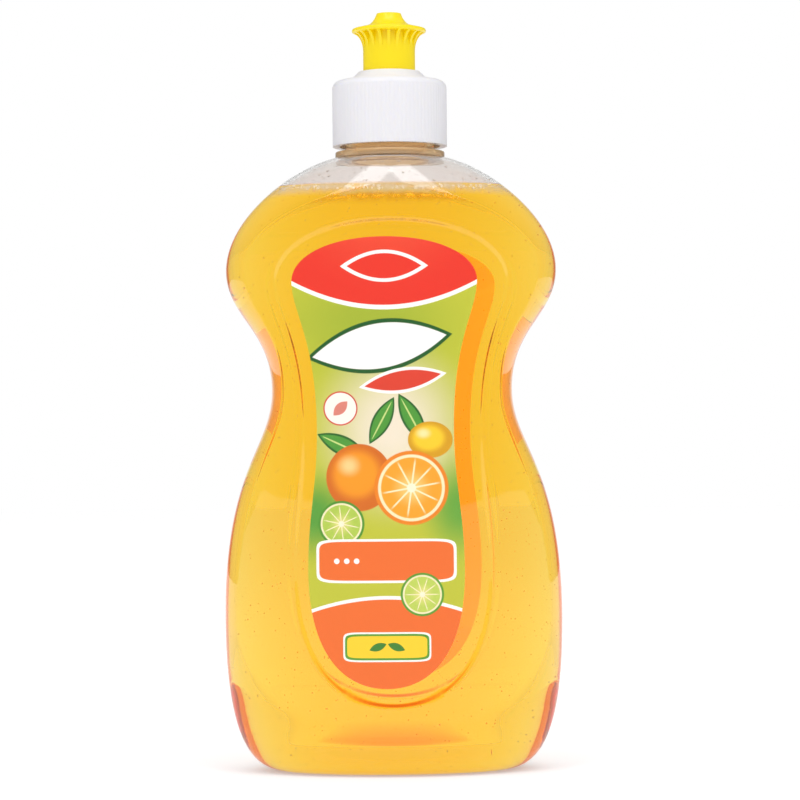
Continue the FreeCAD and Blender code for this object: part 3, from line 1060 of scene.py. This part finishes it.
@dataclass
class Soap:
    """The soap up to its free surface, which climbs a little at the wall, and the air bubbles in it."""

    form: BodyForm
    inset: float = 0.75
    fill: float = 167.0
    meniscus: float = 0.3
    meniscus_reach: float = 1.3
    surface_gap: float = 0.01
    speck_count: int = 1300
    speck_radius: Point = (0.1, 0.26)
    speck_base_gap: float = 4.0
    speck_top_gap: float = 3.0
    speck_side_gap: float = 1.0
    speck_face_gap: float = 0.6
    foam_count: int = 120
    foam_radius: Point = (0.12, 0.36)
    foam_depth: float = 2.6
    foam_top_gap: float = 0.2
    foam_gap: Point = (0.5, 2.0)
    froth_count: int = 400
    froth_radius: Point = (0.16, 0.46)
    froth_rise: Point = (-0.5, 0.35)
    froth_gap: Point = (0.45, 3.0)
    film_height: float = 3.6
    drop_count: int = 160
    drop_radius: Point = (0.1, 0.4)
    drop_rise: Point = (0.8, 7.0)
    batch: int = 20
    seed: int = 12
    finish: AmberSoap = AmberSoap()

    def sides(self) -> list[Ring]:
        """Rings from the base's middle up the sides to the contact line."""
        base = BlownBottle(self.form).base_rings(self.inset)
        squeeze = (self.form.height - 2 * self.inset) / self.form.height
        top = (self.fill + self.meniscus - self.inset) / squeeze
        return base + [self.form.ring(level, self.inset) for level in body_levels(top)]

    def surface(self, rim: Ring, gap: float) -> list[Ring]:
        """Rings of the free surface.

        Args:
            rim: Ring of the contact line.
            gap: How far the surface lies above its place in mm.

        Returns:
            Rings from the contact line to the middle.
        """
        rings = []
        for share in (1.0, 0.995, 0.985, 0.97, 0.95, 0.92, 0.85, 0.7, 0.5, 0.3, 0.15, 0.02):
            drop = self.meniscus * (1 - math.exp(-(1 - share) * rim.half_width / self.meniscus_reach))
            rings.append(Ring(rim.half_width * share, rim.half_depth * share, rim.height - drop + gap))
        return rings

    def body(self) -> bpy.types.Object:
        """Make the amber body, which replaces the plain liquid."""
        sides = self.sides()
        mesh = Skin(self.form).build(sides + self.surface(sides[-1], 0.0)[1:])
        piece = finish_mesh(mesh, "amber_soap", 50.0)
        dress(piece, self.finish.body())
        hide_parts("liquid")
        return piece

    def free_surface(self) -> bpy.types.Object:
        """Make the mirror of the free surface."""
        mesh = Skin(self.form).build(self.surface(self.sides()[-1], self.surface_gap), closed_ends=1)
        piece = finish_mesh(mesh, "soap_surface", 50.0)
        dress(piece, self.finish.interface("soap_against_air", self.finish.ior, frothy=True))
        return piece

    def froth_film(self) -> bpy.types.Object:
        """Make the film of froth that clings to the wall just below the contact line, drawn as a painted
        glow.
        """
        top = self.sides()[-1].height
        steps = 8
        inset = self.inset + 0.1
        levels = [top - self.film_height * (1 - step / steps) for step in range(steps + 1)]
        rings = [replace(self.form.ring(level, inset), height=level) for level in levels]
        piece = finish_mesh(Skin(self.form).build(rings, closed_ends=0), "soap_froth_film", 180.0)
        dress(piece, self.finish.film(top - self.film_height, top - 0.8))
        return piece

    def speck_place(self, dice: random.Random) -> Vector:
        """Draw the place of a speck anywhere in the soap, in mm."""
        while True:
            height = dice.uniform(self.inset + self.speck_base_gap, self.fill - self.speck_top_gap)
            ring = self.form.ring(height, self.inset)
            reach = dice.uniform(-1.0, 1.0) * self.form.width.reach(self.form.width.stretches[0].end[1])
            if abs(reach) < ring.half_width - self.speck_side_gap:
                break
        depth = Skin(self.form).depth_at(abs(reach), ring) - self.speck_face_gap
        return Vector((reach, dice.uniform(-1.0, 1.0) * depth, ring.height))

    def by_wall(self, height: float, turn: float, gap: float) -> Vector:
        """Find a place by the wall.

        Args:
            height: Height of its level in mm.
            turn: Its direction from the middle in radians.
            gap: How far it keeps from the wall in mm.

        Returns:
            The place in mm.
        """
        ring = self.form.ring(height, self.inset)
        reach = ring.half_width * math.sin(turn)
        depth = Skin(self.form).depth_at(abs(reach), ring)
        inward = 1 - gap / ring.half_depth
        return Vector((reach * inward, math.copysign(depth * inward, math.cos(turn)), ring.height))

    def foam_place(self, dice: random.Random) -> Vector:
        """Draw the place of a foam bubble just below the contact line, in mm."""
        height = self.fill - self.foam_top_gap - self.foam_depth * dice.random() ** 2.2
        turn = dice.uniform(0.0, 2 * math.pi)
        return self.by_wall(height, turn, dice.uniform(*self.foam_gap))

    def froth_place(self, dice: random.Random) -> Vector:
        """Draw the place of a froth bead that floats by the wall, in mm."""
        height = self.fill + dice.uniform(*self.froth_rise)
        turn = dice.uniform(0.0, 2 * math.pi)
        nearest, spread = self.froth_gap
        return self.by_wall(height, turn, nearest + spread * dice.random() ** 3.0)

    def drop_place(self, dice: random.Random) -> Vector:
        """Draw the place of a droplet on the wall of the headspace, in mm."""
        lowest, spread = self.drop_rise
        height = self.fill + lowest + spread * dice.random() ** 1.5
        ring = self.form.ring(height, self.inset)
        turn = dice.uniform(0.0, 2 * math.pi)
        return Vector((ring.half_width * math.sin(turn), ring.half_depth * math.cos(turn), ring.height))

    def balls(self, name: str, kinds: list[tuple]) -> bpy.types.Object:
        """Make many small balls as one piece, in batches so that the mesh stays quick to build.

        Args:
            name: Name of the piece.
            kinds: Draw of a place, range of radii in mm and fineness of the balls, for each batch.

        Returns:
            The new piece.
        """
        dice = random.Random(self.seed)
        mesh = bmesh.new()
        for draw_place, (small, large), fineness in kinds:
            few = bmesh.new()
            for _ in range(self.batch):
                place = draw_place(dice)
                radius = small + (large - small) * dice.random() ** 2.0
                bmesh.ops.create_icosphere(few, subdivisions=fineness, radius=radius * MM,
                                           matrix=Matrix.Translation(place * MM))
            data = bpy.data.meshes.new("few_bubbles")
            few.to_mesh(data)
            few.free()
            mesh.from_mesh(data)
            bpy.data.meshes.remove(data)
        return finish_mesh(mesh, name, 180.0)

    def bubbles(self) -> bpy.types.Object:
        """Make the specks in the soap and the air bubbles under its surface."""
        kinds = [(self.speck_place, self.speck_radius, 1)] * (self.speck_count // self.batch)
        kinds += [(self.foam_place, self.foam_radius, 2)] * (self.foam_count // self.batch)
        piece = self.balls("soap_bubbles", kinds)
        dress(piece, self.finish.interface("air_in_soap", 1 / self.finish.ior))
        return piece

    def froth(self) -> bpy.types.Object:
        """Make the froth that floats along the wall."""
        kinds = [(self.froth_place, self.froth_radius, 2)] * (self.froth_count // self.batch)
        piece = self.balls("soap_froth", kinds)
        # The beads glow with painted light in their own colour, for light that hardly reaches them through
        # the wall.
        white = MouldedPlastic("white_froth", "#fffaf2", roughness=0.1, subsurface=0.0, glow=0.5)
        dress(piece, white.material())
        return piece

    def droplets(self) -> bpy.types.Object:
        """Make the droplets that cling to the wall above the soap."""
        kinds = [(self.drop_place, self.drop_radius, 2)] * (self.drop_count // self.batch)
        piece = self.balls("soap_droplets", kinds)
        dress(piece, self.finish.interface("soap_droplet", self.finish.ior))
        return piece

    def build(self) -> None:
        """Make the soap's pieces and let them ride."""
        for piece in (self.body(), self.free_surface(), self.froth_film(), self.bubbles(), self.froth(),
                      self.droplets()):
            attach(piece, "bottle_body")


@dataclass(frozen=True)
class Lamp:
    """One softbox: the direction it stands in, its distance, its size in metres and its power in watts."""

    name: str
    azimuth: float
    elevation: float
    distance: float
    size: Point
    power: float

    def build(self, target: Vector) -> None:
        """Place the lamp and aim it at the target."""
        light = bpy.data.lights.new(self.name, "AREA")
        light.shape = "RECTANGLE"
        light.size, light.size_y = self.size
        light.energy = self.power
        lamp = bpy.data.objects.new(self.name, light)
        bpy.context.scene.collection.objects.link(lamp)
        turn = math.radians(self.azimuth)
        lift = math.radians(self.elevation)
        away = Vector((math.sin(turn) * math.cos(lift), -math.cos(turn) * math.cos(lift), math.sin(lift)))
        lamp.location = target + away * self.distance
        lamp.rotation_euler = (-away).to_track_quat("-Z", "Y").to_euler()


@dataclass
class Studio:
    """Camera, floor, white surroundings and softboxes."""

    camera_place: tuple[float, float, float] = (0.0022, -0.850, 0.0964)
    focal_length: float = 132.5
    upward_shift: float = 0.0437
    roll_degrees: float = 0.5
    floor_size: float = 6.0
    soft_light: float = 0.82
    front_mirrored: float = 0.2
    back_mirrored: float = 0.85
    mirrored_span: Point = (0.9, 0.995)
    front_bent: float = 0.9
    bent_span: Point = (-0.2, 0.85)
    aim_height: float = 0.11
    seen_glow: float = 0.4
    near_glow: float = 0.3
    far_glow: float = 0.33
    glow_span: Point = (0.04, 0.5)
    floor_shade: str = "#e9e9e9"
    # Painted light: the amber that light through the soap casts on the floor near the bottle, painted on the
    # floor for rays that come through the bottle.
    painted_soap_light: str = "#f0921c"
    painted_light_span: Point = (0.05, 0.16)
    lamps: tuple[Lamp, ...] = (
        Lamp("left_softbox", -33.0, 58.0, 1.1, (0.3, 1.0), 2.3),
        Lamp("right_softbox", 33.0, 58.0, 1.1, (0.3, 1.0), 2.3),
    )

    def camera(self) -> None:
        """Set up the camera at the photograph's view."""
        data = bpy.data.cameras.new("camera")
        data.lens = self.focal_length
        data.sensor_width = 36.0
        data.shift_y = self.upward_shift
        data.clip_start = 0.01
        camera = bpy.data.objects.new("camera", data)
        camera.location = self.camera_place
        camera.rotation_euler = (math.radians(90.0), math.radians(self.roll_degrees), 0.0)
        bpy.context.scene.collection.objects.link(camera)
        bpy.context.scene.camera = camera

    def surroundings(self) -> None:
        """White for what the eye sees, a little darker towards the front in mirrored and bent light."""
        world = bpy.data.worlds.new("surroundings")
        world.use_nodes = True
        tree = world.node_tree
        tree.nodes.clear()
        path = add_node(tree, "LightPath")
        place = add_node(tree, "TexCoord")
        axes = add_node(tree, "SeparateXYZ", {0: place.outputs["Generated"]})
        mirrored = add_node(tree, "MapRange", {
            "Value": axes.outputs["Y"],
            "From Min": self.mirrored_span[0],
            "From Max": self.mirrored_span[1],
            "To Min": self.front_mirrored,
            "To Max": self.back_mirrored,
        }, interpolation_type="SMOOTHSTEP")
        bent = add_node(tree, "MapRange", {
            "Value": axes.outputs["Y"],
            "From Min": self.bent_span[0],
            "From Max": self.bent_span[1],
            "To Min": self.front_bent,
            "To Max": 1.0,
        }, interpolation_type="SMOOTHSTEP")
        level = add_node(tree, "Mix", {
            0: path.outputs["Is Glossy Ray"],
            2: self.soft_light,
            3: mirrored.outputs[0],
        })
        level = add_node(tree, "Mix", {
            0: path.outputs["Is Transmission Ray"],
            2: level.outputs[0],
            3: bent.outputs[0],
        })
        level = add_node(tree, "Mix", {0: path.outputs["Is Camera Ray"], 2: level.outputs[0], 3: 1.0})
        light = add_node(tree, "Background", {"Color": (1.0, 1.0, 1.0, 1.0), "Strength": level.outputs[0]})
        add_node(tree, "OutputWorld", {"Surface": light.outputs[0]})
        bpy.context.scene.world = world

    def floor(self) -> None:
        """Plain pale floor that takes the soft shadow and glows white to the eye and through the bottle, save
        near the bottle, where rays that come through it see painted amber light and shade.
        """
        mesh = bmesh.new()
        bmesh.ops.create_grid(mesh, x_segments=2, y_segments=2, size=self.floor_size / 2)
        data = bpy.data.meshes.new("floor")
        mesh.to_mesh(data)
        mesh.free()
        floor = bpy.data.objects.new("floor", data)
        bpy.context.scene.collection.objects.link(floor)
        material, tree = new_material("pale_floor")
        path = add_node(tree, "LightPath")
        place = add_node(tree, "TexCoord")
        away = add_node(tree, "VectorMath", {0: place.outputs["Object"]}, operation="LENGTH")
        bent = add_node(tree, "MapRange", {
            "Value": away.outputs["Value"],
            "From Min": self.glow_span[0],
            "From Max": self.glow_span[1],
            "To Min": self.near_glow,
            "To Max": self.far_glow,
        })
        glow = add_node(tree, "Mix", {
            0: path.outputs["Is Transmission Ray"],
            2: self.near_glow,
            3: bent.outputs[0],
        })
        glow = add_node(tree, "Mix", {
            0: path.outputs["Is Camera Ray"],
            2: glow.outputs[0],
            3: self.seen_glow,
        })
        # Painted light and shade: near the bottle, rays that come through it see the floor painted amber, as
        # if lit only by light that passed the soap.
        under = add_node(tree, "MapRange", {
            "Value": away.outputs["Value"],
            "From Min": self.painted_light_span[0],
            "From Max": self.painted_light_span[1],
            "To Min": 1.0,
            "To Max": 0.0,
        })
        under = add_node(tree, "Math", {
            0: under.outputs[0],
            1: path.outputs["Is Transmission Ray"],
        }, operation="MULTIPLY")
        floor_and_painted_light = add_node(tree, "Mix", {
            0: under.outputs[0],
            6: colour(self.floor_shade),
            7: colour(self.painted_soap_light),
        }, data_type="RGBA")
        matt = add_node(tree, "BsdfDiffuse", {"Color": floor_and_painted_light.outputs[2]})
        glow = add_node(tree, "Emission", {"Color": floor_and_painted_light.outputs[2], "Strength": glow.outputs[0]})
        both = add_node(tree, "AddShader", {0: matt.outputs[0], 1: glow.outputs[0]})
        add_node(tree, "OutputMaterial", {"Surface": both.outputs[0]})
        dress(floor, material)

    def build(self) -> None:
        """Make the whole studio."""
        self.camera()
        self.surroundings()
        self.floor()
        for lamp in self.lamps:
            lamp.build(Vector((0.0, 0.0, self.aim_height)))
        scene = bpy.context.scene
        scene.view_settings.view_transform = "Standard"
        scene.cycles.max_bounces = 32
        scene.cycles.transmission_bounces = 32
        scene.cycles.glossy_bounces = 12


def main() -> None:
    """Build and dress every piece."""
    logging.basicConfig(level=logging.INFO, format="%(name)s %(message)s")
    Studio().build()
    form = BodyForm()
    BlownBottle(form).build()
    Soap(form).build()
    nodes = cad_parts
    dress(nodes["closure"], MouldedPlastic("white_moulded_closure", "#f4f3f8", let_through=0.1).material())
    dress(nodes["spout"], MouldedPlastic("yellow_moulded_spout", "#ffe404", subsurface=0.05).material())
    dress(nodes["seal_ring"], MouldedPlastic("foam_seal", "#deded8").material())
    Labels().build()


if __name__ == "__main__":
    main()
